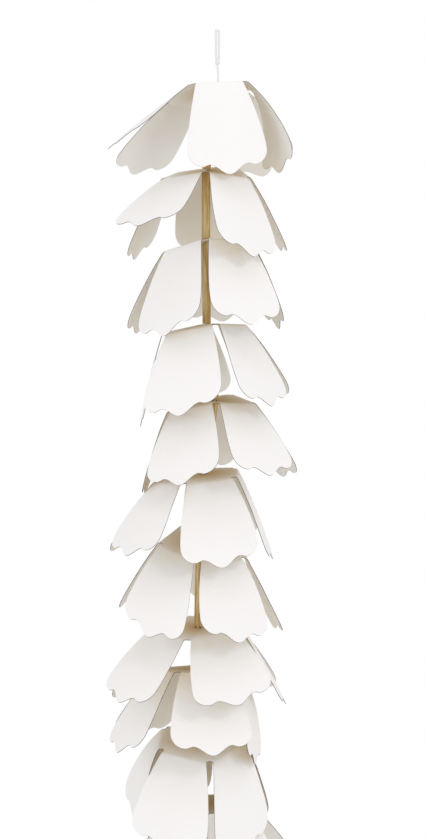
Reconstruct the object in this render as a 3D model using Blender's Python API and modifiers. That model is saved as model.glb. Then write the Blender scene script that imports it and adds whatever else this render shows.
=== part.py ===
"""Paper flower garland: eleven folded card flowers and ten spacer tubes on one cotton string.

Units are metres, +Z is up and the viewer looks from -Y. The origin is the top of the hanging loop.
Each flower is one sheet: a five-sided hub with five petals that are folded down at its sides.
"""
import math
from collections import namedtuple

import bmesh
import bpy
import numpy as np
from mathutils import Vector

MM = 0.001

# The flower, measured on the flat sheet
PETALS = 5
CARD_THICKNESS = 0.45 * MM
HUB_APOTHEM = 27.0 * MM        # hub centre to each petal's fold
SLIT_WIDTH = 5.0 * MM          # cut between two petals, with a round inner end
PETAL_LENGTH = 66.5 * MM       # fold to the tip of the middle lobe
PETAL_WIDTH = 55.5 * MM        # at the widest place
WIDEST_TO_TIP = 17.5 * MM
LOBE_RISE = 7.5 * MM           # middle lobe beyond the two notches
SIDE_LOBE_RISE = 1.3 * MM      # side lobes beyond the two notches
NOTCH_SPACING = 27.4 * MM
SIDE_LOBE_SPACING = 35.4 * MM
SIDE_BULGE = 1.4               # how early a petal's side curve widens

# The column
FIRST_DROP = 41.5 * MM         # top of the hanging loop to the first hub
FLOWER_PITCH = 50.0 * MM       # usual distance from one hub to the next

# The fold
CREASE_WIDTH = 3.0 * MM        # the soft bend between hub and petal
PETAL_CUP = 1.2 * MM           # how far a petal's sides bend inwards

# String and tubes
STRING_DIAMETER = 1.8 * MM
STRING_HOLE = 3.4 * MM
TUBE_DIAMETER = 6.0 * MM
TUBE_BORE = 4.4 * MM
LOOP_HEIGHT = 21.0 * MM
KNOT_WIDTH = 3.7 * MM
KNOT_HEIGHT = 4.2 * MM
END_KNOT_WIDTH = 5.0 * MM
GAP = 0.3 * MM                 # clearance between pieces that touch

# Facets
SIDE_ROWS = 4
ROUND_STEPS = 3
ROUND_SIDES = 16
KNOT_SIDES = 12
STRING_STEPS = 3               # string points between two flowers

HALF_ANGLE = math.pi / PETALS

# Each flower's place and its own hand folding, from the top one down.
#   drop         how far it hangs under the flower above, in shares of FLOWER_PITCH
#   x, string_x  hub centre, and where the string passes through the hub, in hundredths of HUB_APOTHEM
#   turn         degrees that the first petal is turned from the viewer towards +X
#   corners      degrees that each hub corner is bent up from level; corner 0 is left of petal 0
#   flare        each petal's slope, in degrees from straight down
#   lean         degrees that each petal is cut askew in its own plane
#   curl         degrees that each petal rolls inwards over its length
#   twist        degrees that each petal is wrung by its tip
Flower = namedtuple("Flower", "z x string_x turn corners flare lean curl twist")


def flower(drop, x, string_x, turn, corners, flare, lean=(0, 0, 0, 0, 0), curl=(10, 10, 10, 10, 10),
           twist=(0, 0, 0, 0, 0)):
    hundredth = HUB_APOTHEM / 100
    hub_radius = HUB_APOTHEM / math.cos(HALF_ANGLE)
    rises = [hub_radius * math.tan(math.radians(angle)) for angle in corners]
    return Flower(-drop * FLOWER_PITCH, x * hundredth, string_x * hundredth, math.radians(turn), rises,
                  *([math.radians(angle) for angle in angles] for angles in (flare, lean, curl, twist)))


def hang(flowers):
    """Places each flower under the one before it."""
    level = -FIRST_DROP
    hung = []
    for pose in flowers:
        level += pose.z
        hung.append(pose._replace(z=level))
    return hung


FLOWERS = hang([
    flower(0.00, -17, 0, 12, (0, 5, 0, -17, -17), (12, 18, 34, 46, 54), curl=(10, 40, 40, 10, 6),
           twist=(0, 30, 0, 0, 0)),
    flower(1.16, -30, -30, 36, (-6, -10, 12, 3, -11), (29, 31, 28, 27, 55), twist=(12, 0, 0, 0, 0)),
    flower(0.98, -24, -30, 32, (0, -1, 3, -5, -14), (26, 22, 36, 28, 20), (0, 0, 0, 0, -9)),
    flower(1.17, -43, -28, -17, (-13, -1, 0, 3, -9), (27, 31, 36, 33, 13), (-7, -3, 0, -7, 0)),
    flower(1.07, -20, -7, -28, (-14, -3, -3, 9, 1), (36, 42, 32, 33, 19), (3, -10, 0, 6, 0),
           twist=(0, 0, 8, 0, 0)),
    flower(1.03, -50, -37, 17.5, (-11, -3, 8, 7, -11), (30, 22, 35, 38, 44), (-7, 0, 3, 8, 16)),
    flower(1.00, -35, -46, 28, (-17, -15, 9, 23, 3), (37, 24, 36, 36, 46), (-9, 0, 0, 0, 27),
           twist=(12, 12, 0, 0, 0)),
    flower(1.15, -45, -50, 20, (-12, 2, 8, 12, 5), (50, 30, 35, 30, 54), (-8, 4, -16, 8, 20),
           twist=(0, 0, 0, 0, -10)),
    flower(0.57, -46, -46, 7, (0, 2, -5, 0, 0), (36, 11, 27, 37, 34), (0, 0, 6, 0, 3),
           curl=(10, 30, 10, 10, 10)),
    flower(0.97, -48, -46, -22, (-12, -24, -1, 14, 10), (26, 18, 22, 24, 17), (8, -23, 0, 12, 0),
           curl=(10, 10, 10, 10, 36), twist=(0, 0, 0, 0, 25)),
    flower(0.91, -30, -44, -28, (-3, -6, 0, 5, 3), (30, 14, 40, 40, 24)),
])


def petal_outline():
    """Right half of one petal's sector on the flat sheet, from the slit's end round to the tip.

    The sheet's u runs across the petal and its v outwards, with v = 0 on the fold.
    """
    slit = SLIT_WIDTH / 2
    fold_half = HUB_APOTHEM * math.tan(HALF_ANGLE) - slit / math.cos(HALF_ANGLE)
    inwards = Vector((-math.sin(HALF_ANGLE), -math.cos(HALF_ANGLE)))
    sideways = Vector((-math.cos(HALF_ANGLE), math.sin(HALF_ANGLE)))
    slit_end = Vector((fold_half, 0)) - sideways * slit
    points = []
    for step in range(ROUND_STEPS):
        angle = math.pi / 2 * step / ROUND_STEPS
        points.append(slit_end + slit * (inwards * math.cos(angle) + sideways * math.sin(angle)))

    widest = PETAL_LENGTH - WIDEST_TO_TIP
    for step in range(SIDE_ROWS + 1):
        v = widest * step / SIDE_ROWS
        spread = 1 - (1 - v / widest) ** SIDE_BULGE
        points.append(Vector((fold_half + (PETAL_WIDTH / 2 - fold_half) * spread, v)))

    notch = PETAL_LENGTH - LOBE_RISE
    side_lobe = notch + SIDE_LOBE_RISE
    shoulder = SIDE_LOBE_SPACING / 2
    for step in range(1, ROUND_STEPS + 1):
        angle = math.pi / 2 * step / ROUND_STEPS
        points.append(Vector((shoulder + (PETAL_WIDTH / 2 - shoulder) * math.cos(angle),
                              widest + (side_lobe - widest) * math.sin(angle))))

    for step in range(ROUND_STEPS + 1):
        share = 1 - step / ROUND_STEPS
        points.append(Vector((NOTCH_SPACING / 2 * share,
                              notch + LOBE_RISE * math.cos(math.pi / 2 * share) ** 2)))
    return points


def flat_sector():
    """One petal and its fifth of the hub as a flat mesh, cut into rows where the sheet bends."""
    right = petal_outline()
    left = [Vector((-point.x, point.y)) for point in reversed(right[:-1])]
    mesh = bmesh.new()
    outline = [Vector((0, -HUB_APOTHEM))] + right + left
    mesh.faces.new([mesh.verts.new((point.x, point.y, 0)) for point in outline])
    widest = PETAL_LENGTH - WIDEST_TO_TIP
    rows = [-CREASE_WIDTH / 2, CREASE_WIDTH / 2] + [widest * row / SIDE_ROWS for row in range(SIDE_ROWS + 1)]
    for row in rows:
        cut(mesh, (0, row, 0), (0, 1, 0))
    cut(mesh, (0, 0, 0), (1, 0, 0))
    return mesh


def cut(mesh, point, normal):
    geometry = mesh.verts[:] + mesh.edges[:] + mesh.faces[:]
    bmesh.ops.bisect_plane(mesh, geom=geometry, plane_co=point, plane_no=normal, dist=1e-6)


def arc(length, start, end):
    """Run and drop of a strip that leaves at one slope and arrives at another along a round bend."""
    chord = length * float(np.sinc((end - start) / 2 / math.pi))
    middle = (start + end) / 2
    return chord * math.cos(middle), chord * math.sin(middle)


def hub_axes(pose, petal):
    """Directions of the hub's sloping fifth: outwards across the fold, and along the fold."""
    angle = pose.turn + 2 * HALF_ANGLE * petal
    left, right = pose.corners[petal], pose.corners[(petal + 1) % PETALS]
    outwards = Vector((math.sin(angle), -math.cos(angle), (left + right) / 2 / HUB_APOTHEM))
    along = Vector((math.cos(angle), math.sin(angle), (right - left) / 2 / HUB_APOTHEM / math.tan(HALF_ANGLE)))
    return outwards, along


def fold(pose, petal, u, v):
    """Place of a point of the flat sheet on the folded flower."""
    outwards, along = hub_axes(pose, petal)
    centre = Vector((pose.x, 0, pose.z))
    start = -CREASE_WIDTH / 2
    if v <= start:
        return centre + outwards * (HUB_APOTHEM + v) + along * u

    across = along.normalized()
    level = (outwards - outwards.dot(across) * across).normalized()
    normal = level.cross(across)
    bend = math.pi / 2 - pose.flare[petal] + math.asin(level.z) - pose.curl[petal] / 2
    crease = min(v - start, CREASE_WIDTH)
    run, drop = arc(crease, 0, bend * crease / CREASE_WIDTH)
    slope = bend * crease / CREASE_WIDTH
    if v > -start:
        slope = bend + pose.curl[petal] * (v + start) / PETAL_LENGTH
        more = arc(v + start, bend, slope)
        run, drop = run + more[0], drop + more[1]
    skew = max(0, v) * math.tan(pose.lean[petal])
    cup = PETAL_CUP * (u / (PETAL_WIDTH / 2)) ** 2 * min(1, max(0, v) / (PETAL_LENGTH / 2))
    wring = math.tan(pose.twist[petal]) * u * max(0, v) / PETAL_LENGTH
    face = math.sin(slope) * level + math.cos(slope) * normal
    hinge = centre + outwards * (HUB_APOTHEM + start) + along * u
    return hinge + skew * across + run * level - drop * normal - (cup + wring) * face


def hub_height(pose, x, y):
    """Height of the hub's surface under a point, which may lie off its centre."""
    angle = math.atan2(x - pose.x, -y) - pose.turn
    petal = round(angle / (2 * HALF_ANGLE)) % PETALS
    outwards, along = hub_axes(pose, petal)
    offset = Vector((x - pose.x, y))
    return pose.z + offset.dot(outwards.xy) * outwards.z + offset.dot(along.xy) * along.z


def material(name, colour, roughness):
    made = bpy.data.materials.new(name)
    made.use_nodes = True
    surface = made.node_tree.nodes["Principled BSDF"]
    surface.inputs["Base Color"].default_value = (*colour, 1)
    surface.inputs["Roughness"].default_value = roughness
    surface.inputs["Metallic"].default_value = 0
    made.diffuse_color = (*colour, 1)
    return made


def add_object(name, data, collection, finish=None):
    made = bpy.data.objects.new(name, data)
    if finish:
        data.materials.append(finish)
    collection.objects.link(made)
    return made


def flower_mesh(name, pose, sector):
    """The folded sheet, five sectors joined along the hub's seams, still without thickness."""
    sheet = bmesh.new()
    for petal in range(PETALS):
        placed = {vertex: sheet.verts.new(fold(pose, petal, vertex.co.x, vertex.co.y)) for vertex in sector.verts}
        for face in sector.faces:
            sheet.faces.new([placed[vertex] for vertex in face.verts])
    bmesh.ops.remove_doubles(sheet, verts=sheet.verts, dist=1e-6)
    bmesh.ops.triangulate(sheet, faces=sheet.faces)
    bmesh.ops.recalc_face_normals(sheet, faces=sheet.faces)
    if max(sheet.faces, key=lambda face: face.calc_center_median().z).normal.z < 0:
        bmesh.ops.reverse_faces(sheet, faces=sheet.faces)
    mesh = bpy.data.meshes.new(name)
    sheet.to_mesh(mesh)
    sheet.free()
    return mesh


def drill(name, pose, collection):
    """Cutter for the string hole, square to the level."""
    tool = bmesh.new()
    bmesh.ops.create_cone(tool, cap_ends=True, segments=ROUND_SIDES, radius1=STRING_HOLE / 2,
                          radius2=STRING_HOLE / 2, depth=4 * STRING_HOLE)
    mesh = bpy.data.meshes.new(name)
    tool.to_mesh(mesh)
    tool.free()
    made = add_object(name, mesh, collection)
    made.location = (pose.string_x, 0, hub_height(pose, pose.string_x, 0))
    made.hide_render = True
    made.display_type = 'WIRE'
    return made


def add_flower(number, pose, sector, parts, cutters, paper):
    made = add_object(f"flower_{number:02d}", flower_mesh(f"flower_{number:02d}", pose, sector), parts, paper)
    card = made.modifiers.new("card", 'SOLIDIFY')
    card.thickness = CARD_THICKNESS
    card.offset = 0
    card.use_even_offset = True
    hole = made.modifiers.new("string_hole", 'BOOLEAN')
    hole.object = drill(f"drill_{number:02d}", pose, cutters)
    hole.solver = 'EXACT'
    hole.operation = 'DIFFERENCE'


def rim_heights(pose):
    """Lowest and highest point of the hub's middle surface round a tube's end."""
    heights = []
    for side in range(ROUND_SIDES):
        angle = 2 * math.pi * side / ROUND_SIDES
        heights.append(hub_height(pose, pose.string_x + TUBE_DIAMETER / 2 * math.cos(angle),
                                  TUBE_DIAMETER / 2 * math.sin(angle)))
    return min(heights), max(heights)


def add_tube(number, above, below, parts, finish):
    """A spacer tube between two flowers: a turned wall, tilted to lie along the string."""
    allowance = CARD_THICKNESS / 2 / math.cos(math.radians(20)) + GAP
    axis = Vector((above.string_x - below.string_x, 0, above.z - below.z)).normalized()
    tip = TUBE_DIAMETER / 2 * abs(axis.x)
    top = rim_heights(above)[0] - allowance - tip
    bottom = rim_heights(below)[1] + allowance + tip
    length = (top - bottom) / axis.z
    wall = bmesh.new()
    corners = [(TUBE_DIAMETER / 2, length), (TUBE_DIAMETER / 2, 0), (TUBE_BORE / 2, 0), (TUBE_BORE / 2, length)]
    profile = [wall.verts.new((radius, 0, height)) for radius, height in corners]
    for index, vertex in enumerate(profile):
        wall.edges.new((vertex, profile[(index + 1) % len(profile)]))
    mesh = bpy.data.meshes.new(f"tube_{number:02d}")
    wall.to_mesh(mesh)
    wall.free()
    made = add_object(f"tube_{number:02d}", mesh, parts, finish)
    turned = made.modifiers.new("turned", 'SCREW')
    turned.steps = turned.render_steps = ROUND_SIDES
    turned.use_merge_vertices = True
    turned.merge_threshold = 1e-5
    share = (bottom - below.z) / (above.z - below.z)
    made.location = (below.string_x + (above.string_x - below.string_x) * share, 0, bottom)
    made.rotation_euler = (0, math.atan2(axis.x, axis.z), 0)


def smooth_route(route, steps):
    """Points of a smooth curve through a list of places."""
    padded = [2 * route[0] - route[1]] + route + [2 * route[-1] - route[-2]]
    points = []
    for before, start, end, after in zip(padded, padded[1:], padded[2:], padded[3:]):
        for step in range(steps):
            t = step / steps
            points.append(0.5 * (2 * start + (end - before) * t + (2 * before - 5 * start + 4 * end - after) * t ** 2
                                 + (3 * start - before - 3 * end + after) * t ** 3))
    points.append(route[-1])
    return points


def add_cord(name, points, closed, parts, finish):
    curve = bpy.data.curves.new(name, 'CURVE')
    curve.dimensions = '3D'
    curve.bevel_depth = STRING_DIAMETER / 2
    curve.bevel_resolution = 2
    curve.use_fill_caps = not closed
    spline = curve.splines.new('POLY')
    spline.points.add(len(points) - 1)
    for knot, point in zip(spline.points, points):
        knot.co = (*point, 1)
    spline.use_cyclic_u = closed
    return add_object(name, curve, parts, finish)


def add_knot(name, width, height, centre, parts, finish):
    ball = bmesh.new()
    bmesh.ops.create_uvsphere(ball, u_segments=KNOT_SIDES, v_segments=KNOT_SIDES // 2, radius=0.5)
    bmesh.ops.scale(ball, vec=(width, width, height), verts=ball.verts)
    mesh = bpy.data.meshes.new(name)
    ball.to_mesh(mesh)
    ball.free()
    mesh.shade_smooth()
    add_object(name, mesh, parts, finish).location = centre


def add_string(parts, cotton):
    """The string from the loop's knot down to the stopper knot under the last flower."""
    loop_end = -LOOP_HEIGHT
    knot = Vector((0, 0, loop_end - GAP - KNOT_HEIGHT / 2))
    add_knot("loop_knot", KNOT_WIDTH, KNOT_HEIGHT, knot, parts, cotton)

    last = FLOWERS[-1]
    stop_x = last.string_x
    rim = min(hub_height(last, stop_x + END_KNOT_WIDTH / 2 * side, 0) for side in (-1, 1))
    stopper = Vector((stop_x, 0, rim - CARD_THICKNESS / 2 - GAP - END_KNOT_WIDTH / 2))
    add_knot("end_knot", END_KNOT_WIDTH, END_KNOT_WIDTH, stopper, parts, cotton)

    route = [knot - Vector((0, 0, KNOT_HEIGHT / 2 + GAP))]
    route += [Vector((pose.string_x, 0, hub_height(pose, pose.string_x, 0))) for pose in FLOWERS]
    points = smooth_route(route, STRING_STEPS)
    points[-1] = stopper + Vector((0, 0, END_KNOT_WIDTH / 2 + GAP))
    add_cord("string", points, False, parts, cotton)


def add_loop(parts, cotton):
    """The doubled string that hangs on a peg: two strands side by side, joined by a round turn."""
    reach = (STRING_DIAMETER + GAP) / 2
    top = -STRING_DIAMETER / 2 - reach
    bottom = -LOOP_HEIGHT + STRING_DIAMETER / 2 + reach
    points = []
    for level, start in ((top, 0), (bottom, math.pi)):
        for step in range(2 * ROUND_STEPS + 1):
            angle = start + math.pi * step / (2 * ROUND_STEPS)
            points.append(Vector((reach * math.cos(angle), 0, level + reach * math.sin(angle))))
    add_cord("hanging_loop", points, True, parts, cotton)


def build():
    for old in list(bpy.data.objects):
        bpy.data.objects.remove(old, do_unlink=True)
    parts = bpy.data.collections.new("paper_flower_garland")
    cutters = bpy.data.collections.new("cutters")
    for collection in (parts, cutters):
        bpy.context.scene.collection.children.link(collection)

    paper = material("white_card", (0.90, 0.90, 0.88), 0.85)
    reed = material("brown_tube", (0.38, 0.23, 0.09), 0.6)
    cotton = material("white_cotton", (0.82, 0.82, 0.80), 0.9)

    sector = flat_sector()
    for number, pose in enumerate(FLOWERS, 1):
        add_flower(number, pose, sector, parts, cutters, paper)
    sector.free()
    for number, (above, below) in enumerate(zip(FLOWERS, FLOWERS[1:]), 1):
        add_tube(number, above, below, parts, reed)
    add_string(parts, cotton)
    add_loop(parts, cotton)


build()
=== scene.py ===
# %% [markdown]
# # A paper flower garland, dressed for a picture
#
# Eleven folded flowers of white card hang in a column on one cotton string, with a short reed tube between
# each two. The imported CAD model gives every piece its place. This file puts a finer piece over each solid
# and gives it its finish. Units are metres, +Z is up, and the viewer looks from -Y.

# %% Load the frame
import math
from collections import namedtuple

import bmesh
import bpy
import numpy as np
from mathutils import Matrix, Vector, noise
from mathutils.bvhtree import BVHTree


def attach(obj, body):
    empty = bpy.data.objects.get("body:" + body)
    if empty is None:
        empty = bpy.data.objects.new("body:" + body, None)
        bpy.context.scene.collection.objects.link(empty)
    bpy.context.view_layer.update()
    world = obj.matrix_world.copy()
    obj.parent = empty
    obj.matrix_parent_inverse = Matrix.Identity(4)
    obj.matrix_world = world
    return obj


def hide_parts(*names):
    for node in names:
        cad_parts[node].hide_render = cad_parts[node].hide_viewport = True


MM = 0.001

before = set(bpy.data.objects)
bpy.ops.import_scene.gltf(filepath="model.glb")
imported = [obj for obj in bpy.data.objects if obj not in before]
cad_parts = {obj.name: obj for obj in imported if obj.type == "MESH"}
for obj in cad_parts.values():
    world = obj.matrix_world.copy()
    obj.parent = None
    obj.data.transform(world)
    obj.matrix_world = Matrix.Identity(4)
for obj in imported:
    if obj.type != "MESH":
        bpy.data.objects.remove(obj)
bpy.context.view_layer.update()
scene = bpy.context.scene
print("solids to dress:", len(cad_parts))

# %% [markdown]
# ## Camera
#
# The photograph looks level at the garland from far off, so that all flowers are seen from the same side.
# One photo pixel is 0.7 mm at the string. The picture is 839 pixels tall, so with a camera 2 m away it spans
# 587.3 mm, which sets the lens. The sensor's width belongs to the picture's long side. The camera stands at
# the height of the picture's middle, so no shift is needed. The frame's origin is the top of the hanging
# loop, whose place in the photo ties the two together.

# %% Camera
PHOTO_WIDTH = 426
PHOTO_HEIGHT = 839
LOOP_TOP_X = 217.5
LOOP_TOP_Y = 29
PIXEL = 0.7 * MM
CAMERA_DISTANCE = 2.0
SENSOR = 36.0

camera = bpy.data.objects.new("camera", bpy.data.cameras.new("camera"))
camera.data.sensor_width = SENSOR
camera.data.lens = SENSOR * CAMERA_DISTANCE / (PHOTO_HEIGHT * PIXEL)
camera.data.clip_start = 0.05
camera.data.clip_end = 50
middle_x = (PHOTO_WIDTH / 2 - LOOP_TOP_X) * PIXEL
middle_z = (LOOP_TOP_Y - PHOTO_HEIGHT / 2) * PIXEL
camera.location = (middle_x, -CAMERA_DISTANCE, middle_z)
camera.rotation_euler = (math.pi / 2, 0, 0)
scene.collection.objects.link(camera)
bpy.context.scene.camera = camera
print("lens", round(camera.data.lens, 1), "mm")

# %% [markdown]
# ## Two helpers for node graphs
#
# The world and every finish are graphs of nodes. One helper adds a node, sets it up and wires it in a single
# call. The other starts a new material with the two values that matter most for dull surfaces, how rough it
# is and how little it mirrors. Both are set on the shader itself, because they are the same all over.

# %% Node helpers
def add_node(tree, kind, settings=None, inputs=None):
    """Adds a node. An input is a plain value, or the output of another node to link it to."""
    node = tree.nodes.new(kind)
    for key, value in (settings or {}).items():
        setattr(node, key, value)
    for key, value in (inputs or {}).items():
        if hasattr(value, "is_output"):
            tree.links.new(value, node.inputs[key])
        else:
            node.inputs[key].default_value = value
    return node


def new_material(name, roughness):
    made = bpy.data.materials.new(name)
    made.use_nodes = True
    surface = made.node_tree.nodes["Principled BSDF"]
    surface.inputs["Roughness"].default_value = roughness
    surface.inputs["Specular IOR Level"].default_value = 0.25
    print("material", name)
    return made, made.node_tree, surface


# %% [markdown]
# ## Light from all sides
#
# The picture was taken in soft light from all sides, on white. A plain bright world gives that, and it also
# fills the bells of the flowers from below, so their insides stay light. A picture of a studio wrapped round
# the scene could do it too, but here nothing shiny needs it. The world is a little warm where it lights the
# paper, and pure white where it is looked at, straight or in a gloss. Light Path tells the two apart.

# %% World and view
AMBIENT_COLOUR = (1.0, 0.985, 0.965, 1)
AMBIENT_STRENGTH = 0.91
WHITE = (1, 1, 1, 1)

scene.view_settings.view_transform = 'Standard'

world = bpy.data.worlds.new("white_studio")
world.use_nodes = True
sky = world.node_tree
ambient = sky.nodes["Background"]
ambient.inputs["Color"].default_value = AMBIENT_COLOUR
ambient.inputs["Strength"].default_value = AMBIENT_STRENGTH
seen = add_node(sky, "ShaderNodeBackground", inputs={"Color": WHITE})

path = add_node(sky, "ShaderNodeLightPath")
in_gloss = add_node(sky, "ShaderNodeMath", {"operation": 'MAXIMUM'},
                    {0: path.outputs["Is Camera Ray"], 1: path.outputs["Is Glossy Ray"]})
looked_at = add_node(sky, "ShaderNodeMath", {"operation": 'MAXIMUM'},
                     {0: in_gloss.outputs["Value"], 1: path.outputs["Is Transmission Ray"]})
choice = add_node(sky, "ShaderNodeMixShader", inputs={"Fac": looked_at.outputs["Value"],
                                                      1: ambient.outputs["Background"],
                                                      2: seen.outputs["Background"]})
sky.links.new(choice.outputs["Shader"], sky.nodes["World Output"].inputs["Surface"])
scene.world = world
print("world strength", AMBIENT_STRENGTH)

# %% [markdown]
# ## Two lamps in front
#
# The world alone lights each face the same. In the photo, the petals that look forward are a little brighter
# than those that look aside, and each flower drops a short shadow on the next. A wide area lamp left of the
# viewer does the first, and a smaller one above right the second. Both stay so weak that no white face
# clips, which would wipe out the paper's tooth.

# %% Lamps
MIDDLE = Vector((0, 0, -0.3))


def add_lamp(name, place, size, power, colour):
    """A square area lamp that faces the garland's middle."""
    lamp = bpy.data.objects.new(name, bpy.data.lights.new(name, 'AREA'))
    lamp.data.shape = 'SQUARE'
    lamp.data.size = size
    lamp.data.energy = power
    lamp.data.color = colour
    lamp.location = place
    lamp.rotation_euler = (MIDDLE - lamp.location).to_track_quat('-Z', 'Y').to_euler()
    scene.collection.objects.link(lamp)
    print("lamp", name, power, "W")


add_lamp("soft_front", (-0.4, -1.9, -0.15), size=0.9, power=3.0, colour=(0.96, 0.97, 1.0))
add_lamp("key_right", (0.8, -1.6, 0.4), size=0.3, power=4.0, colour=(0.95, 0.96, 1.0))

# %% [markdown]
# ## Patterns for the finishes
#
# No real surface has one flat colour. Noise gives the small changes of tone and height that paper, reed and
# cotton have, and a few helpers let each finish read as a list of what it is made of. Every pattern is placed
# in Object coordinates, in metres, because the pieces sit at the origin unscaled and share the frame's scale.

# %% Pattern helpers
def places(tree, stretch=(1, 1, 1)):
    """Object coordinates, stretched along some axes."""
    source = add_node(tree, "ShaderNodeTexCoord").outputs["Object"]
    return add_node(tree, "ShaderNodeMapping", inputs={"Vector": source, "Scale": stretch}).outputs["Vector"]


def speckle(tree, where, scale, detail=3.0, rough=0.6):
    made = add_node(tree, "ShaderNodeTexNoise",
                    inputs={"Vector": where, "Scale": scale, "Detail": detail, "Roughness": rough})
    return made.outputs["Fac"]


def spread(tree, value, low, high, to_low=0.0, to_high=1.0):
    """Stretches the range from low to high over the range from to_low to to_high."""
    made = add_node(tree, "ShaderNodeMapRange", inputs={"Value": value, "From Min": low, "From Max": high,
                                                        "To Min": to_low, "To Max": to_high})
    return made.outputs["Result"]


def mixed(tree, share, first, second):
    """Mix of two colours; each is a colour tuple or the output of another node."""
    made = add_node(tree, "ShaderNodeMix", {"data_type": 'RGBA'}, {"Factor": share})
    for socket, colour in ((made.inputs[6], first), (made.inputs[7], second)):
        if hasattr(colour, "is_output"):
            tree.links.new(colour, socket)
        else:
            socket.default_value = (*colour, 1)
    return made.outputs[2]


def on_vertices(tree, name):
    """A number that was kept on each vertex of the mesh."""
    return add_node(tree, "ShaderNodeAttribute", {"attribute_name": name}).outputs["Fac"]


def coloured(tree, surface, colour):
    tree.links.new(colour, surface.inputs["Base Color"])


def bumped(tree, surface, height, distance, strength=1.0):
    bump = add_node(tree, "ShaderNodeBump",
                    inputs={"Height": height, "Distance": distance, "Strength": strength})
    tree.links.new(bump.outputs["Normal"], surface.inputs["Normal"])


# %% [markdown]
# ## Floor
#
# The garland hangs high in the room, so the pale floor is far below it. There it leaves the way free for a
# look into the flowers from below, and it shows only from above. Walls could stand round the garland too, but
# they would take the soft light away. One wide flat disc is enough.

# %% Floor
FLOOR_LEVEL = -3.6
FLOOR_RADIUS = 12
FLOOR_GREY = (0.86, 0.86, 0.855)
FLOOR_PALE = (0.88, 0.88, 0.875)


def kept_mesh(shape, name):
    """Puts a finished bmesh into a mesh of its own."""
    mesh = bpy.data.meshes.new(name)
    shape.to_mesh(mesh)
    shape.free()
    return mesh


disc = bmesh.new()
bmesh.ops.create_circle(disc, cap_ends=True, segments=96, radius=FLOOR_RADIUS)
floor = bpy.data.objects.new("floor", kept_mesh(disc, "floor"))
floor.location = (0, 0, FLOOR_LEVEL)
scene.collection.objects.link(floor)

pale, floor_tree, floor_surface = new_material("pale_floor", roughness=0.7)
grain = speckle(floor_tree, places(floor_tree), scale=30)
coloured(floor_tree, floor_surface, mixed(floor_tree, grain, FLOOR_GREY, FLOOR_PALE))
floor.data.materials.append(pale)
print("floor", 2 * FLOOR_RADIUS, "m across")

# %% [markdown]
# ## The card's two faces
#
# The flowers are cut from matt white craft card of about 240 g/m2. Seen close, its face has a fine tooth
# and a few darker fibres and specks. A scanned sheet could give them, but noise is as good here and stays
# sharp at any distance. Shade is painted into the card's colour too: where one sheet shades another, the
# colour turns from white to beige, as light that has bounced between warm white faces many times would.
# Beside a reed tube a painted golden brown stands for the colour that the tube throws on the card. Two
# numbers on each vertex, worked out further down, set where this painted shade goes: "enclosed" says how much
# paper stands round it, and "by_reed" how near a tube is. The inner face is painted creamier, for the warm
# light inside the bells, and takes the painted shade sooner than the outer face.

# %% Card faces
# The beige tones below are painted shade, the golden brown is painted reed light, and the creamier inner
# white is painted warm light inside the bells.
OUTER_WHITE = (0.925, 0.917, 0.921)
INNER_PAINTED_WARM_WHITE = (0.88, 0.865, 0.83)
OUTER_PAINTED_SHADE = (0.88, 0.79, 0.63)
INNER_PAINTED_SHADE = (0.86, 0.785, 0.65)
PAINTED_REED_GLOW = (0.64, 0.44, 0.20)
CLOUD = (0.80, 0.76, 0.68)
FLECK = (0.52, 0.44, 0.33)


def card_material(name, white, painted_shade, paints_shade_from, full_shade_at):
    """Card that is white up to one share of enclosure and painted beige shade from another, with painted
    golden reed light.
    """
    made, tree, surface = new_material(name, roughness=0.82)
    enclosed = on_vertices(tree, "enclosed")
    # Painted shade: the colour turns beige as the vertex is more enclosed.
    painted_shade_tone = mixed(tree, spread(tree, enclosed, paints_shade_from, full_shade_at), white, painted_shade)
    by_reed = on_vertices(tree, "by_reed")
    # Painted reflection: golden brown reed light on the card near a tube.
    with_painted_reed_glow = mixed(tree, spread(tree, by_reed, 0.15, 1.0), painted_shade_tone, PAINTED_REED_GLOW)

    where = places(tree)
    clouds = spread(tree, speckle(tree, where, scale=60, detail=4.0), 0.35, 0.65, to_high=0.05)
    clouded = mixed(tree, clouds, with_painted_reed_glow, CLOUD)
    specks = spread(tree, speckle(tree, where, scale=900, detail=1.0), 0.70, 0.76, to_high=0.22)
    coloured(tree, surface, mixed(tree, specks, clouded, FLECK))

    fibres = speckle(tree, places(tree, stretch=(1.0, 1.0, 0.35)), scale=2600)
    bumped(tree, surface, fibres, distance=0.03 * MM, strength=0.5)
    return made


card_outer = card_material("card_outer_face", OUTER_WHITE, OUTER_PAINTED_SHADE, paints_shade_from=0.38, full_shade_at=0.68)
# The inner face is painted creamier and takes the painted shade sooner: painted warm light inside the bells.
card_inner = card_material("card_inner_face", INNER_PAINTED_WARM_WHITE, INNER_PAINTED_SHADE, paints_shade_from=0.26, full_shade_at=0.64)

# %% [markdown]
# ## The card's cut edge
#
# A thin grey line runs round every petal, at the cut edge. The edge gets a finish of its own that is painted
# much darker than the card, as painted shade along the thin edge, and it is rougher than both faces. A noise
# fine enough to look like the layers of a sheet varies it, and painted brown shade comes in where the faces
# beside it take their painted beige.

# %% Card edge
EDGE_PAINTED_DARK = (0.13, 0.115, 0.10)
EDGE_PAINTED_GREY = (0.24, 0.215, 0.185)
EDGE_PAINTED_SHADE = (0.20, 0.105, 0.045)


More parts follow.
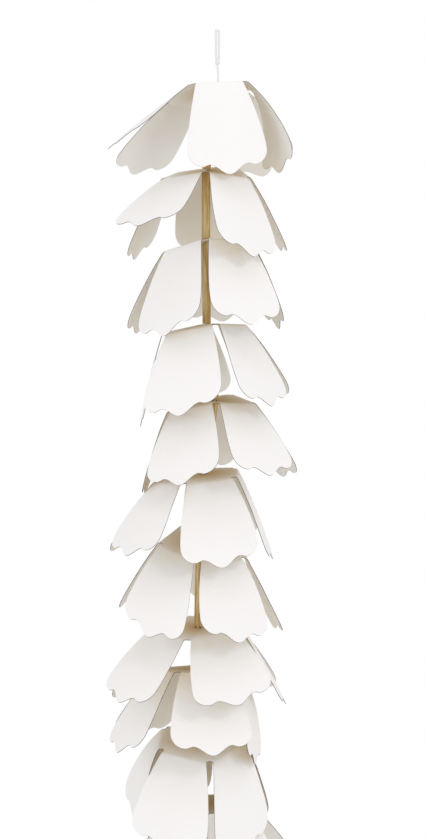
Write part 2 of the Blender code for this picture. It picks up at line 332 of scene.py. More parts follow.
def edge_material():
    made, tree, surface = new_material("card_cut_edge", roughness=0.9)
    # The edge's dark grey is painted shade along the thin edge.
    layers = spread(tree, speckle(tree, places(tree), scale=1500, detail=2.0), 0.35, 0.65)
    painted_edge_grey = mixed(tree, layers, EDGE_PAINTED_DARK, EDGE_PAINTED_GREY)
    # Painted shade: the edge turns brown where the vertex is more enclosed.
    shaded = spread(tree, on_vertices(tree, "enclosed"), 0.20, 0.50)
    coloured(tree, surface, mixed(tree, shaded, painted_edge_grey, EDGE_PAINTED_SHADE))
    bumped(tree, surface, layers, distance=0.04 * MM)
    return made


card_edge = edge_material()

# %% [markdown]
# ## One flower
#
# Each flower is one flat sheet that someone folded by hand: a five-sided hub with five petals turned down at
# its sides, and a narrow round-ended slit between two petals. It could be built from five bent strips, but
# the clearest way to model it is the way it was made. The petal is drawn flat, cut into rows where it bends,
# and every point is then carried to its place by one folding function. The values are those of the CAD
# source, so the fine sheet lies on the solid.

# %% Dimensions of the flat sheet
PETALS = 5
HALF_ANGLE = math.pi / PETALS
CARD_THICKNESS = 0.45 * MM
HUB_APOTHEM = 27.0 * MM
SLIT_WIDTH = 5.0 * MM
PETAL_LENGTH = 66.5 * MM
PETAL_WIDTH = 55.5 * MM
WIDEST_TO_TIP = 17.5 * MM
LOBE_RISE = 7.5 * MM
SIDE_LOBE_RISE = 1.3 * MM
NOTCH_SPACING = 27.4 * MM
SIDE_LOBE_SPACING = 35.4 * MM
SIDE_BULGE = 1.4
CREASE_WIDTH = 3.0 * MM
PETAL_CUP = 1.2 * MM
STRING_HOLE = 3.4 * MM

print("a flower is cut from a circle of", round(2 * (HUB_APOTHEM + PETAL_LENGTH) / MM), "mm")

# %% [markdown]
# ## Eleven foldings
#
# No two flowers are folded alike, and that is what gives the garland its life. One row below is one flower.
# Copying a single flower eleven times would look like a machine had made it. From the top one down, a row
# holds:
#
# - drop: how far it hangs under the flower above, in shares of FLOWER_PITCH
# - x, string_x: hub centre, and where the string passes through the hub, in hundredths of HUB_APOTHEM
# - turn: degrees that the first petal is turned from the viewer towards +X
# - corners: degrees that each hub corner is bent up from level; corner 0 is left of petal 0
# - flare: each petal's slope, in degrees from straight down
# - lean: degrees that each petal is cut askew in its own plane
# - curl: degrees that each petal rolls inwards over its length
# - twist: degrees that each petal is wrung by its tip

# %% Each flower's place and folding
FIRST_DROP = 41.5 * MM
FLOWER_PITCH = 50.0 * MM
STRAIGHT = (0, 0, 0, 0, 0)
EVEN_CURL = (10, 10, 10, 10, 10)

Flower = namedtuple("Flower", "z x string_x turn corners flare lean curl twist")
garland = []


def flower(drop, x, string_x, turn, corners, flare, lean=STRAIGHT, curl=EVEN_CURL, twist=STRAIGHT):
    """Hangs one more flower under the last one."""
    level = garland[-1].z if garland else -FIRST_DROP
    hundredth = HUB_APOTHEM / 100
    hub_radius = HUB_APOTHEM / math.cos(HALF_ANGLE)
    rises = [hub_radius * math.tan(math.radians(angle)) for angle in corners]
    angles = [[math.radians(angle) for angle in row] for row in (flare, lean, curl, twist)]
    garland.append(Flower(level - drop * FLOWER_PITCH, x * hundredth, string_x * hundredth,
                          math.radians(turn), rises, *angles))


flower(0.00, -17, 0, 12, (0, 5, 0, -17, -17), (12, 18, 34, 46, 54), curl=(10, 40, 40, 10, 6),
       twist=(0, 30, 0, 0, 0))
flower(1.16, -30, -30, 36, (-6, -10, 12, 3, -11), (29, 31, 28, 27, 55), twist=(12, 0, 0, 0, 0))
flower(0.98, -24, -30, 32, (0, -1, 3, -5, -14), (26, 22, 36, 28, 20), lean=(0, 0, 0, 0, -9))
flower(1.17, -43, -28, -17, (-13, -1, 0, 3, -9), (27, 31, 36, 33, 13), lean=(-7, -3, 0, -7, 0))
flower(1.07, -20, -7, -28, (-14, -3, -3, 9, 1), (36, 42, 32, 33, 19), lean=(3, -10, 0, 6, 0),
       twist=(0, 0, 8, 0, 0))
flower(1.03, -50, -37, 17.5, (-11, -3, 8, 7, -11), (30, 22, 35, 38, 44), lean=(-7, 0, 3, 8, 16))
flower(1.00, -35, -46, 28, (-17, -15, 9, 23, 3), (37, 24, 36, 36, 46), lean=(-9, 0, 0, 0, 27),
       twist=(12, 12, 0, 0, 0))
flower(1.15, -45, -50, 20, (-12, 2, 8, 12, 5), (50, 30, 35, 30, 54), lean=(-8, 4, -16, 8, 20),
       twist=(0, 0, 0, 0, -10))
flower(0.57, -46, -46, 7, (0, 2, -5, 0, 0), (36, 11, 27, 37, 34), lean=(0, 0, 6, 0, 3),
       curl=(10, 30, 10, 10, 10))
flower(0.97, -48, -46, -22, (-12, -24, -1, 14, 10), (26, 18, 22, 24, 17), lean=(8, -23, 0, 12, 0),
       curl=(10, 10, 10, 10, 36), twist=(0, 0, 0, 0, 25))
flower(0.91, -30, -44, -28, (-3, -6, 0, 5, 3), (30, 14, 40, 40, 24))
print(len(garland), "flowers, the last one", round(-garland[-1].z / MM), "mm down")

# %% [markdown]
# ## The petal's outline
#
# A petal is drawn as a paper cutter would draw it: the round end of the slit, a side that swells to the
# widest place, a round corner, and a wavy end with a middle lobe between two low ones. Each stretch follows
# its own simple rule, so a few sizes shape the whole. Only the right half is drawn, because the left half is
# its mirror image.

# %% Outline of half a petal
FINE_ROWS = 14
FINE_ROUND = 7
SLIT = SLIT_WIDTH / 2
FOLD_HALF = HUB_APOTHEM * math.tan(HALF_ANGLE) - SLIT / math.cos(HALF_ANGLE)
PETAL_HALF = PETAL_WIDTH / 2
WIDEST = PETAL_LENGTH - WIDEST_TO_TIP
NOTCH = PETAL_LENGTH - LOBE_RISE


def quarter(steps):
    """Angles at some steps of a quarter turn."""
    return [math.pi / 2 * step / FINE_ROUND for step in steps]


def slit_end():
    inwards = Vector((-math.sin(HALF_ANGLE), -math.cos(HALF_ANGLE)))
    sideways = Vector((-math.cos(HALF_ANGLE), math.sin(HALF_ANGLE)))
    centre = Vector((FOLD_HALF, 0)) - sideways * SLIT
    return [centre + SLIT * (inwards * math.cos(angle) + sideways * math.sin(angle))
            for angle in quarter(range(FINE_ROUND))]


def swelling_side():
    points = []
    for step in range(FINE_ROWS + 1):
        share = 1 - (1 - step / FINE_ROWS) ** SIDE_BULGE
        points.append(Vector((FOLD_HALF + (PETAL_HALF - FOLD_HALF) * share, WIDEST * step / FINE_ROWS)))
    return points


def round_corner():
    shoulder = SIDE_LOBE_SPACING / 2
    side_lobe = NOTCH + SIDE_LOBE_RISE
    return [Vector((shoulder + (PETAL_HALF - shoulder) * math.cos(angle),
                    WIDEST + (side_lobe - WIDEST) * math.sin(angle)))
            for angle in quarter(range(1, FINE_ROUND + 1))]


def middle_lobe():
    points = []
    for step in range(FINE_ROUND + 1):
        share = 1 - step / FINE_ROUND
        rise = LOBE_RISE * math.cos(math.pi / 2 * share) ** 2
        points.append(Vector((NOTCH_SPACING / 2 * share, NOTCH + rise)))
    return points


right_half = slit_end() + swelling_side() + round_corner() + middle_lobe()
print("half an outline has", len(right_half), "points")

# %% [markdown]
# ## The flat sector
#
# The outline is filled with one face, from the hub's centre to the petal's tip. Paper bends only where its
# mesh has edges, so the face is then sliced by planes: close together through the crease, where the bend is
# sharp, and in even rows and columns beyond it. Slicing keeps the outline as it was drawn, which a grid cut
# to shape with a Boolean would not do as cleanly.

# %% Cut the sector into a fine grid
CREASE_ROWS = 4
PETAL_ROWS = 18
HUB_ROWS = 4
COLUMNS = 10


def flat_sector():
    """One petal and its fifth of the hub, flat, with the fold along X through the origin."""
    left_half = [Vector((-point.x, point.y)) for point in reversed(right_half[:-1])]
    outline = [Vector((0, -HUB_APOTHEM))] + right_half + left_half
    sheet = bmesh.new()
    sheet.faces.new([sheet.verts.new((point.x, point.y, 0)) for point in outline])

    rows = [CREASE_WIDTH * (row / CREASE_ROWS - 0.5) for row in range(CREASE_ROWS + 1)]
    rows += [PETAL_LENGTH * row / PETAL_ROWS for row in range(1, PETAL_ROWS)]
    rows += [-HUB_APOTHEM * row / HUB_ROWS for row in range(1, HUB_ROWS)]
    columns = [PETAL_WIDTH * (column / COLUMNS - 0.5) for column in range(1, COLUMNS)]
    cuts = [((0, row, 0), (0, 1, 0)) for row in rows] + [((column, 0, 0), (1, 0, 0)) for column in columns]
    for point, normal in cuts:
        geometry = sheet.verts[:] + sheet.edges[:] + sheet.faces[:]
        bmesh.ops.bisect_plane(sheet, geom=geometry, plane_co=point, plane_no=normal, dist=1e-6)
    return kept_mesh(sheet, "flat_sector")


sector = flat_sector()
print("one sector has", len(sector.polygons), "faces")

# %% [markdown]
# ## Where a fold carries a point
#
# The hub is not quite flat: each of its corners is bent up or down a little, so each fifth of it slopes in
# its own way. A petal leaves its fifth through a round crease and then rolls slowly to its tip. Seen from the
# side, that is a line made of two arcs, and the length of an arc never changes, because paper doesn't
# stretch.

# %% The hub's slope and the petal's side view
def hub_axes(pose, petal):
    """Directions of the hub's sloping fifth: outwards across the fold, and along the fold."""
    angle = pose.turn + 2 * HALF_ANGLE * petal
    left, right = pose.corners[petal], pose.corners[(petal + 1) % PETALS]
    tilt = (right - left) / 2 / HUB_APOTHEM / math.tan(HALF_ANGLE)
    outwards = Vector((math.sin(angle), -math.cos(angle), (left + right) / 2 / HUB_APOTHEM))
    along = Vector((math.cos(angle), math.sin(angle), tilt))
    return outwards, along


def hub_height(pose, x, y):
    """Height of the hub's surface under a point, which may lie off its centre."""
    angle = math.atan2(x - pose.x, -y) - pose.turn
    petal = round(angle / (2 * HALF_ANGLE)) % PETALS
    outwards, along = hub_axes(pose, petal)
    offset = Vector((x - pose.x, y))
    return pose.z + offset.dot(outwards.xy) * outwards.z + offset.dot(along.xy) * along.z


def arc(length, start, end):
    """Run and drop of a strip that leaves at one slope and arrives at another along a round bend."""
    chord = length * float(np.sinc((end - start) / 2 / math.pi))
    middle = (start + end) / 2
    return chord * math.cos(middle), chord * math.sin(middle)


def side_view(bend, curl, length):
    """Run, drop and slope at a length past the crease's start: through the crease, then along the roll."""
    in_crease = min(length, CREASE_WIDTH)
    slope = bend * in_crease / CREASE_WIDTH
    run, drop = arc(in_crease, 0, slope)
    if length > CREASE_WIDTH:
        beyond = length - CREASE_WIDTH
        slope = bend + curl * beyond / PETAL_LENGTH
        more_run, more_drop = arc(beyond, bend, slope)
        run, drop = run + more_run, drop + more_drop
    return run, drop, slope


print("a crease of 60 degrees runs", round(side_view(math.radians(60), 0, CREASE_WIDTH)[0] / MM, 2), "mm")

# %% [markdown]
# ## The folding function
#
# One function takes a point of the flat sheet to its place on the folded flower. On the hub it only follows
# the slope. On the petal it follows the side view, and adds what a hand does to card: the petal leans, cups
# across its width and is wrung by its tip. Modifiers could bend the petals too, but each would need its own
# helpers, and the parts of one sheet would drift apart. A slow wave, lower than the card is thick, keeps the
# petal from looking like plastic.

# %% Fold
WARP = 0.16 * MM
WAVES_PER_METRE = 55


def fold(pose, petal, u, v):
    """Place on the flower of a point u along the fold and v beyond it."""
    outwards, along = hub_axes(pose, petal)
    centre = Vector((pose.x, 0, pose.z))
    start = -CREASE_WIDTH / 2
    if v <= start:
        return centre + outwards * (HUB_APOTHEM + v) + along * u

    across = along.normalized()
    level = (outwards - outwards.dot(across) * across).normalized()
    normal = level.cross(across)
    bend = math.pi / 2 - pose.flare[petal] + math.asin(level.z) - pose.curl[petal] / 2
    run, drop, slope = side_view(bend, pose.curl[petal], v - start)
    hinge = centre + outwards * (HUB_APOTHEM + start) + along * u
    face = math.sin(slope) * level + math.cos(slope) * normal

    out = max(0, v)
    skew = out * math.tan(pose.lean[petal])
    cup = PETAL_CUP * (u / PETAL_HALF) ** 2 * min(1, out / (PETAL_LENGTH / 2))
    wring = math.tan(pose.twist[petal]) * u * out / PETAL_LENGTH
    placed = hinge + skew * across + run * level - drop * normal - (cup + wring) * face
    wave = WARP * min(1, out / (PETAL_LENGTH / 3)) * noise.noise(placed * WAVES_PER_METRE)
    return placed + wave * face


tip = fold(garland[0], 0, 0, PETAL_LENGTH)
print("the top flower's front petal ends at", [round(c / MM) for c in tip], "mm")

# %% [markdown]
# ## The whole sheet
#
# Five copies of the flat sector are folded to their places. They share their borders on the hub, so merging
# the doubled points there gives one continuous sheet. Its faces are then made to look outwards, up on the
# hub, because the next step tells the two sides of the card apart by that.

# %% Fold five sectors into one sheet
def folded_sheet(name, pose):
    sheet = bmesh.new()
    for petal in range(PETALS):
        first = len(sheet.verts)
        sheet.from_mesh(sector)
        sheet.verts.ensure_lookup_table()
        for vertex in sheet.verts[first:]:
            vertex.co = fold(pose, petal, vertex.co.x, vertex.co.y)
    bmesh.ops.remove_doubles(sheet, verts=sheet.verts, dist=1e-6)
    bmesh.ops.triangulate(sheet, faces=[face for face in sheet.faces if len(face.verts) > 4])
    bmesh.ops.recalc_face_normals(sheet, faces=sheet.faces)
    hub_top = max(sheet.faces, key=lambda face: face.calc_center_median().z)
    if hub_top.normal.z < 0:
        bmesh.ops.reverse_faces(sheet, faces=sheet.faces)
    return kept_mesh(sheet, name)


# %% [markdown]
# ## Thickness and string hole
#
# The sheet is thickened to both sides of its middle, as the CAD solid is. The Solidify modifier numbers the
# two faces and the cut edge apart, so each can have its own finish. The hole for the string is cut by a
# Boolean with a short cylinder, after the thickening, so its wall is part of the solid. Both modifiers are
# then applied, because the shading step needs the real vertices.

# %% Helpers for pieces
def add_piece(name, mesh, *finishes):
    made = bpy.data.objects.new(name, mesh)
    for finish in finishes:
        mesh.materials.append(finish)
    scene.collection.objects.link(made)
    return made


def shade(mesh, crease):
    """Smooth shading, with an edge wherever the surface turns by more than the crease angle."""
    mesh.shade_smooth()
    mesh.set_sharp_from_angle(angle=math.radians(crease))


def belongs(made, node):
    """Hangs a piece on the root body and hides the solid that it stands for."""
    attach(made, "root")
    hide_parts(node)


def hole_cutter(pose):
    tool = bmesh.new()
    bmesh.ops.create_cone(tool, cap_ends=True, segments=32, radius1=STRING_HOLE / 2, radius2=STRING_HOLE / 2,
                          depth=4 * STRING_HOLE)
    cutter = add_piece("cutter", kept_mesh(tool, "cutter"), card_edge)
    cutter.location = (pose.string_x, 0, hub_height(pose, pose.string_x, 0))
    return cutter


def freeze(made):
    """Puts the result of an object's modifiers into its mesh."""
    graph = bpy.context.evaluated_depsgraph_get()
    mesh = bpy.data.meshes.new_from_object(made.evaluated_get(graph))
    made.modifiers.clear()
    made.data = mesh


# %% Make the flowers
OUTER_TO_INNER = 1
OUTER_TO_EDGE = 2


def make_flower(number, pose):
    name = f"paper_flower_{number:02d}"
    made = add_piece(name, folded_sheet(name, pose), card_outer, card_inner, card_edge)
    card = made.modifiers.new("card", 'SOLIDIFY')
    card.thickness = CARD_THICKNESS
    card.offset = 0
    card.use_even_offset = True
    card.material_offset = OUTER_TO_INNER
    card.material_offset_rim = OUTER_TO_EDGE

    cutter = hole_cutter(pose)
    hole = made.modifiers.new("string_hole", 'BOOLEAN')
    hole.object = cutter
    hole.solver = 'EXACT'
    hole.material_mode = 'TRANSFER'
    freeze(made)
    bpy.data.objects.remove(cutter, do_unlink=True)
    shade(made.data, crease=38)
    belongs(made, f"flower_{number:02d}")
    return made


flowers = [make_flower(number, pose) for number, pose in enumerate(garland, 1)]
print("flowers", len(flowers), "with", sum(len(made.data.polygons) for made in flowers), "faces")

# %% [markdown]
# ## Reed
#
# The spacers are pieces of natural reed, brown and streaked along their length. A wave texture would draw
# streaks that are too even. Noise that is stretched along Z does better: a wide one for the slow change from
# brown to straw, and a fine one for the light and dark fibres on top of it. The fine one also gives the
# ridges that a finger would feel.

# %% Reed material
REED_BROWN = (0.52, 0.32, 0.10)
REED_STRAW = (0.76, 0.60, 0.30)
REED_LIGHT = (0.90, 0.78, 0.50)
REED_DARK = (0.32, 0.17, 0.05)


def reed_material():
    made, tree, surface = new_material("reed", roughness=0.55)
    lengthwise = places(tree, stretch=(1.0, 1.0, 0.06))
    wide = spread(tree, speckle(tree, lengthwise, scale=420, detail=2.0), 0.42, 0.58)
    fibres = speckle(tree, lengthwise, scale=1400, detail=4.0, rough=0.7)
    light_fibres = spread(tree, fibres, 0.52, 0.70, to_high=0.7)
    dark_fibres = spread(tree, fibres, 0.30, 0.44, to_low=0.85, to_high=0.0)
    base = mixed(tree, wide, REED_BROWN, REED_STRAW)
    streaked = mixed(tree, light_fibres, base, REED_LIGHT)
    coloured(tree, surface, mixed(tree, dark_fibres, streaked, REED_DARK))
    bumped(tree, surface, fibres, distance=0.10 * MM, strength=0.6)
    return made


reed = reed_material()

# %% [markdown]
# ## The wall of a tube
#
# A round, hollow thing is best made by spinning half of its section round its axis: inside, rim, outside,
# rim. A cylinder with a hole cut through it would give the same wall with a worse mesh. The outside is then
# pressed in here and there by a slow noise, because a plant never grows quite round.

# %% Spin a reed wall
TUBE_DIAMETER = 6.0 * MM
TUBE_BORE = 4.4 * MM
TUBE_SIDES = 32
TUBE_RINGS = 10
REED_EDGE = 0.12 * MM
REED_WANDER = 0.1 * MM
KNOB_SPACING = 12 * MM
NEXT_TUBE = 3

print("the reed's wall is", round((TUBE_DIAMETER - TUBE_BORE) / 2 / MM, 1), "mm thick")


def spun_wall(length):
    inside, outside = TUBE_BORE / 2, TUBE_DIAMETER / 2
    section = [(inside, 0), (outside - REED_EDGE, 0), (outside, REED_EDGE)]
    section += [(outside, length * ring / TUBE_RINGS) for ring in range(1, TUBE_RINGS)]
    section += [(outside, length - REED_EDGE), (outside - REED_EDGE, length), (inside, length)]
    wall = bmesh.new()
    corners = [wall.verts.new((radius, 0, height)) for radius, height in section]
    edges = [wall.edges.new(pair) for pair in zip(corners, corners[1:] + corners[:1])]
    bmesh.ops.spin(wall, geom=corners + edges, cent=(0, 0, 0), axis=(0, 0, 1), angle=2 * math.pi,
                   steps=TUBE_SIDES, use_merge=True)
    bmesh.ops.remove_doubles(wall, verts=wall.verts, dist=1e-6)
    bmesh.ops.recalc_face_normals(wall, faces=wall.faces)
    return wall


def press_outside(wall, number):
    """Presses the outside in by a slow noise. Each tube takes its own stretch of it, NEXT_TUBE apart."""
    for vertex in wall.verts:
        radius = vertex.co.xy.length
        if radius > TUBE_BORE / 2 + REED_EDGE:
            heading = vertex.co.xy / radius
            height = vertex.co.z / KNOB_SPACING + NEXT_TUBE * number
            pressed = REED_WANDER * (0.5 + 0.5 * noise.noise((*heading, height)))
            vertex.co.xy = heading * (radius - pressed)


# %% [markdown]
# ## Tubes between the hubs
#
# Each tube is cut to fill the space between two hubs and leans the way the string does there. Its length
# comes from the hubs: it stands on the highest point under its lower rim, and ends under the lowest point
# over its upper one, each time with a small clearance. So it always seats, whatever the flowers do.

# %% Make the tubes
GAP = 0.3 * MM
RIM_POINTS = 16
STEEPEST_HUB = math.radians(20)


def rim_heights(pose):
    """Lowest and highest point of a hub round the tube's rim."""
    heights = []
    for point in range(RIM_POINTS):
        angle = 2 * math.pi * point / RIM_POINTS
        heights.append(hub_height(pose, pose.string_x + TUBE_DIAMETER / 2 * math.cos(angle),
                                  TUBE_DIAMETER / 2 * math.sin(angle)))
    return min(heights), max(heights)


def make_tube(number, above, below):
    axis = Vector((above.string_x - below.string_x, 0, above.z - below.z)).normalized()
    allowance = CARD_THICKNESS / 2 / math.cos(STEEPEST_HUB) + GAP + TUBE_DIAMETER / 2 * abs(axis.x)
    top = rim_heights(above)[0] - allowance
    bottom = rim_heights(below)[1] + allowance
    wall = spun_wall((top - bottom) / axis.z)
    press_outside(wall, number)

    share = (bottom - below.z) / (above.z - below.z)
    foot = Vector((below.string_x + (above.string_x - below.string_x) * share, 0, bottom))
    leaning = Matrix.Rotation(math.atan2(axis.x, axis.z), 4, 'Y')
    wall.transform(Matrix.Translation(foot) @ leaning)
    name = f"reed_tube_{number:02d}"
    made = add_piece(name, kept_mesh(wall, name), reed)
    shade(made.data, crease=40)
    belongs(made, f"tube_{number:02d}")
    return made


neighbours = zip(garland, garland[1:])
tubes = [make_tube(number, above, below) for number, (above, below) in enumerate(neighbours, 1)]
print("tubes", len(tubes))

# %% [markdown]
# ## Cotton
#
# The string is plain white cotton, so its finish is quiet: a fine noise for the fibres, in tone and in
# height, and a little sheen, which stands for the fluff that catches the light along a thread. Real hairs
# could be grown on it, but on a string this thin nobody would see them.

# %% Cotton material
COTTON_GREY = (0.78, 0.78, 0.78)
COTTON_WHITE = (0.90, 0.90, 0.90)


def cotton_material():
    made, tree, surface = new_material("cotton", roughness=0.9)
    surface.inputs["Sheen Weight"].default_value = 0.25
    fibres = speckle(tree, places(tree), scale=4200)
    coloured(tree, surface, mixed(tree, spread(tree, fibres, 0.35, 0.65), COTTON_GREY, COTTON_WHITE))
    bumped(tree, surface, fibres, distance=0.08 * MM)
    return made


cotton = cotton_material()

# %% [markdown]
# ## A route for a cord
#
# A cord follows a few places in space. A smooth curve goes through them, and even steps are then taken along
# it, because a twist only looks regular when its steps are equally long. At each step the cord also needs to
# know which way is sideways. Those two directions are carried along from step to step, so that they never
# turn about the route by themselves.

# %% Routes
def smooth_route(route, steps):
    """Points of a smooth curve through a list of places."""
    padded = [2 * route[0] - route[1]] + route + [2 * route[-1] - route[-2]]
    points = []
    for before, start, end, after in zip(padded, padded[1:], padded[2:], padded[3:]):
        for step in range(steps):
            t = step / steps
            points.append(0.5 * (2 * start + (end - before) * t
                                 + (2 * before - 5 * start + 4 * end - after) * t ** 2
                                 + (3 * start - before - 3 * end + after) * t ** 3))
    points.append(route[-1])
    return points


def even_route(points, step):
    """The same route with evenly spaced points, and its length."""
    lengths = [0.0]
    for start, end in zip(points, points[1:]):
        lengths.append(lengths[-1] + (end - start).length)
    count = max(3, round(lengths[-1] / step))
    made = []
    index = 0
    for number in range(count + 1):
        wanted = lengths[-1] * number / count
        while index < len(points) - 2 and lengths[index + 1] < wanted:
            index += 1
        share = (wanted - lengths[index]) / max(1e-9, lengths[index + 1] - lengths[index])
        made.append(points[index].lerp(points[index + 1], min(1, max(0, share))))
    return made, lengths[-1]


def frames_along(route):
    """Each point of the route with two directions across it."""
    frames = []
    side = Vector((1, 0, 0))
    for index, point in enumerate(route):
        ahead = (route[min(len(route) - 1, index + 1)] - route[max(0, index - 1)]).normalized()
        side -= side.dot(ahead) * ahead
        if side.length < 0.1:
            side = ahead.orthogonal()
        side.normalize()
        frames.append((point, side.copy(), ahead.cross(side)))
    return frames


# %% [markdown]
# ## Twisted string
#
# Three soft yarns wind round each other. A bump pattern could hint at that, but it would vanish at the
# outline, where a twist shows best. So each yarn is a curve with a round bevel, the plainest way to a long
# thin thread. The yarns swing round the route close enough to press on each other. The same helper makes the
# string, the loop and the knots, each from its own route.

# %% Twist three yarns
STRING_DIAMETER = 1.8 * MM
YARNS = 3
YARN_RADIUS = 0.52
TWIST_LENGTH = 4.2 * MM
ROUTE_STEP = 0.42 * MM


def round_threads(name, paths, radius):
    """One mesh of round threads, each bevelled along its path."""
    curve = bpy.data.curves.new(name, 'CURVE')
    curve.dimensions = '3D'
    curve.bevel_depth = radius
    curve.bevel_resolution = 2
    curve.use_fill_caps = True
    for path in paths:
        spline = curve.splines.new('POLY')
        spline.points.add(len(path) - 1)
        for point, place in zip(spline.points, path):
            point.co = (*place, 1)
    holder = bpy.data.objects.new(name, curve)
    mesh = bpy.data.meshes.new_from_object(holder)
    bpy.data.objects.remove(holder)
    mesh.name = name
    mesh.shade_smooth()
    return mesh


def add_cord(name, points, node):
    """Three yarns that wind round a route, as one piece."""
    route, length = even_route(points, ROUTE_STEP)
    radius = STRING_DIAMETER / 2 * YARN_RADIUS
    swing = STRING_DIAMETER / 2 - radius
    paths = []
    for number in range(YARNS):
        path = []
        for index, (point, first, second) in enumerate(frames_along(route)):
            angle = 2 * math.pi * (length / TWIST_LENGTH * index / len(route) + number / YARNS)
            path.append(point + swing * (math.cos(angle) * first + math.sin(angle) * second))
        paths.append(path)
    made = add_piece(name, round_threads(name, paths, radius), cotton)
    belongs(made, node)
    print(name, "is", round(length / MM), "mm long")


# %% [markdown]
# ## The string
#
# The string starts in the knot under the loop, runs through each hub and tube, and ends in the stopper knot
# under the last flower. A straight line would miss the holes, because each flower hangs a little aside. So
# its route is the row of places where it meets the hubs.

# %% Make the string
LOOP_HEIGHT = 21.0 * MM
KNOT_WIDTH = 3.7 * MM
KNOT_HEIGHT = 4.2 * MM
END_KNOT_WIDTH = 5.0 * MM

last = garland[-1]
rim = min(hub_height(last, last.string_x + END_KNOT_WIDTH / 2 * side, 0) for side in (-1, 1))
loop_knot_centre = Vector((0, 0, -LOOP_HEIGHT - GAP - KNOT_HEIGHT / 2))
end_knot_centre = Vector((last.string_x, 0, rim - CARD_THICKNESS / 2 - GAP - END_KNOT_WIDTH / 2))

string_route = [loop_knot_centre - Vector((0, 0, KNOT_HEIGHT / 2 + GAP))]
string_route += [Vector((pose.string_x, 0, hub_height(pose, pose.string_x, 0))) for pose in garland]
string_points = smooth_route(string_route, steps=3)
string_points[0] = loop_knot_centre
string_points[-1] = end_knot_centre
add_cord("cotton_string", string_points, "string")

# %% [markdown]
# ## The hanging loop
#
# Above the knot the string is doubled: it goes up, turns round in a half circle and comes down again, the
# two runs close beside each other. The route is that half circle with a few places on each run, which swell
# a little, as a loop of soft string does.

# %% Make the loop
LOOP_PINCH = 0.6
LOOP_SWELL = 1.05
LOOP_FOOT = 2 * MM
HALF_TURN = [math.pi * step / 8 for step in range(9)]

reach = (STRING_DIAMETER + GAP) / 2
loop_top = -STRING_DIAMETER / 2 - reach
half_way = (loop_top - LOOP_HEIGHT) / 2
rising = [loop_knot_centre + Vector((-reach * LOOP_PINCH, 0, 0)),
          Vector((-reach, 0, LOOP_FOOT - LOOP_HEIGHT)),
          Vector((-reach * LOOP_SWELL, 0, half_way))]
falling = [Vector((-place.x, 0, place.z)) for place in reversed(rising)]
bow = [Vector((-reach * math.cos(angle), 0, loop_top + reach * math.sin(angle))) for angle in HALF_TURN]
add_cord("cotton_loop", smooth_route(rising + bow + falling, steps=4), "hanging_loop")

# %% [markdown]
# ## The knots
#
# Each knot is an overhand knot: its string makes two and a half turns round itself, which reads as a small
# wound ball. A true knot's route would be hidden inside it, so a short coil that slopes and bulges in the
# middle is enough, pressed into the knot's outline. The share KNOT_NECK of its width stays the same all the
# way up. The rest swells like half a wave, with KNOT_END of that wave left off at both ends.

# %% Wind the knots
KNOT_TURNS = 2.5
POINTS_PER_TURN = 24
KNOT_END = 0.12
KNOT_NECK = 0.55
KNOT_SLANT = 0.25 * MM


def wound_knot(name, node, centre, width, height):
    """A sloping coil that is widest halfway up."""
    points = []
    count = int(POINTS_PER_TURN * KNOT_TURNS)
    for step in range(count + 1):
        share = step / count
        angle = 2 * math.pi * KNOT_TURNS * share
        bulge = math.sin(math.pi * (KNOT_END + (1 - 2 * KNOT_END) * share))
        radius = (width - STRING_DIAMETER) / 2 * (KNOT_NECK + (1 - KNOT_NECK) * bulge)
        level = (height - STRING_DIAMETER) * (share - 0.5) + KNOT_SLANT * math.cos(angle)
        points.append(centre + Vector((radius * math.cos(angle), radius * math.sin(angle), level)))
    add_cord(name, points, node)


wound_knot("cotton_loop_knot", "loop_knot", loop_knot_centre, KNOT_WIDTH, KNOT_HEIGHT)
wound_knot("cotton_end_knot", "end_knot", end_knot_centre, END_KNOT_WIDTH, END_KNOT_WIDTH)

# %% [markdown]
# ## How enclosed is each point of the card?
#
# Rays leave each vertex into the half space over its face. The share that meets paper or reed within a few
# centimetres is how enclosed the vertex is, and the card's materials paint shade by it. A shader could ask
# the same while rendering, but a number that is kept on the mesh stays with the model wherever it goes. The
# rays follow a fixed spiral, so every run gives the same numbers.

# %% Rays over a face
RAYS = 40
REACH = 70 * MM
FADE = 0.5
LIFT = 0.05 * MM


def spiral_directions(count):
    """Directions over a flat plate, closer together near its normal, as light falls on it."""
    spiral = []
    for number in range(count):
        share = (number + 0.5) / count
        angle = number * math.pi * (3 - math.sqrt(5))
        radius = math.sqrt(share)
        spiral.append((radius * math.cos(angle), radius * math.sin(angle), math.sqrt(1 - share)))
    return spiral


def search_tree(pieces):
    """All faces of some pieces, sorted so that a ray finds what it meets fast."""
    joined = bmesh.new()
    for made in pieces:
        joined.from_mesh(made.data)
    tree = BVHTree.FromBMesh(joined)
    joined.free()
    return tree


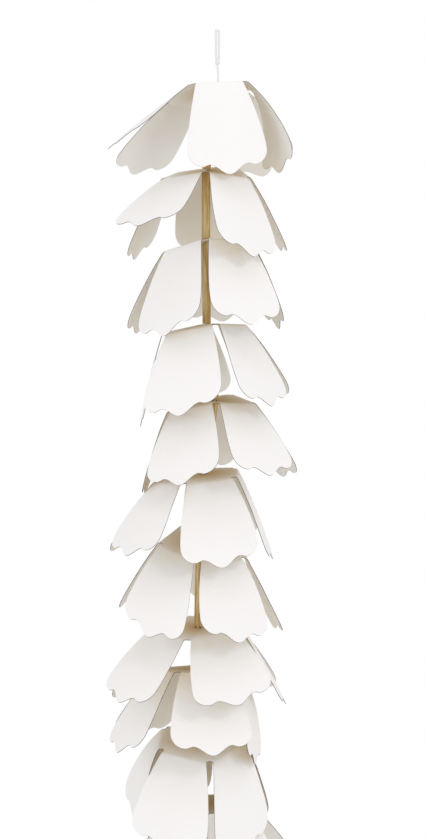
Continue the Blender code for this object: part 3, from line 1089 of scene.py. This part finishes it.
def enclosure(tree, point, normal):
    """Share of the rays that meet something. What is met at REACH counts less than what is close, by FADE."""
    first = normal.orthogonal().normalized()
    second = normal.cross(first)
    start = point + normal * LIFT
    met = 0.0
    for x, y, z in directions:
        distance = tree.ray_cast(start, first * x + second * y + normal * z, REACH)[3]
        if distance is not None:
            met += 1 - FADE * distance / REACH
    return met / len(directions)


directions = spiral_directions(RAYS)
whole_garland = search_tree(flowers + tubes)
print(len(directions), "rays leave each vertex")

# %% [markdown]
# ## How near is the reed?
#
# The reed's brown is painted onto the card that faces it, as the light that the reed throws back would tint
# it:
# on top of a hub round the tube that stands there, and under it round the tube that hangs below. So each side
# of a sheet asks for the distance to its own tube, and the painted glow fades with it.

# %% Glow beside a tube
GLOW_REACH = 30 * MM


def reed_glow(mesh, above, below):
    """1 against a tube and 0 at GLOW_REACH from it."""
    glow = []
    for vertex in mesh.vertices:
        facing = above if vertex.normal.z > 0 else below
        distance = facing.find_nearest(vertex.co, GLOW_REACH)[3] if facing else None
        # The share of painted golden reed light on the card at this vertex.
        glow.append(0.0 if distance is None else 1 - distance / GLOW_REACH)
    return glow


reed_trees = [None] + [search_tree([made]) for made in tubes] + [None]
print("the reed's glow ends", round(GLOW_REACH / MM), "mm from it")

# %% [markdown]
# ## Keeping both numbers
#
# A named attribute on the vertices carries each number, and the card's materials read it by that name to
# place their painted shade and painted reed light. A painted image would do it too, but a plain number keeps
# its full accuracy and needs no unwrapping. The top flower has no tube above it and the bottom one none
# below, so None stands there.

# %% Keep both numbers on the flowers
def keep_values(mesh, name, values):
    mesh.attributes.new(name, 'FLOAT', 'POINT').data.foreach_set("value", values)


for made, above, below in zip(flowers, reed_trees, reed_trees[1:]):
    mesh = made.data
    shut_in = [enclosure(whole_garland, vertex.co, vertex.normal) for vertex in mesh.vertices]
    keep_values(mesh, "enclosed", shut_in)
    keep_values(mesh, "by_reed", reed_glow(mesh, above, below))
    print(made.name, "is enclosed by", round(sum(shut_in) / len(shut_in), 2), "on average")
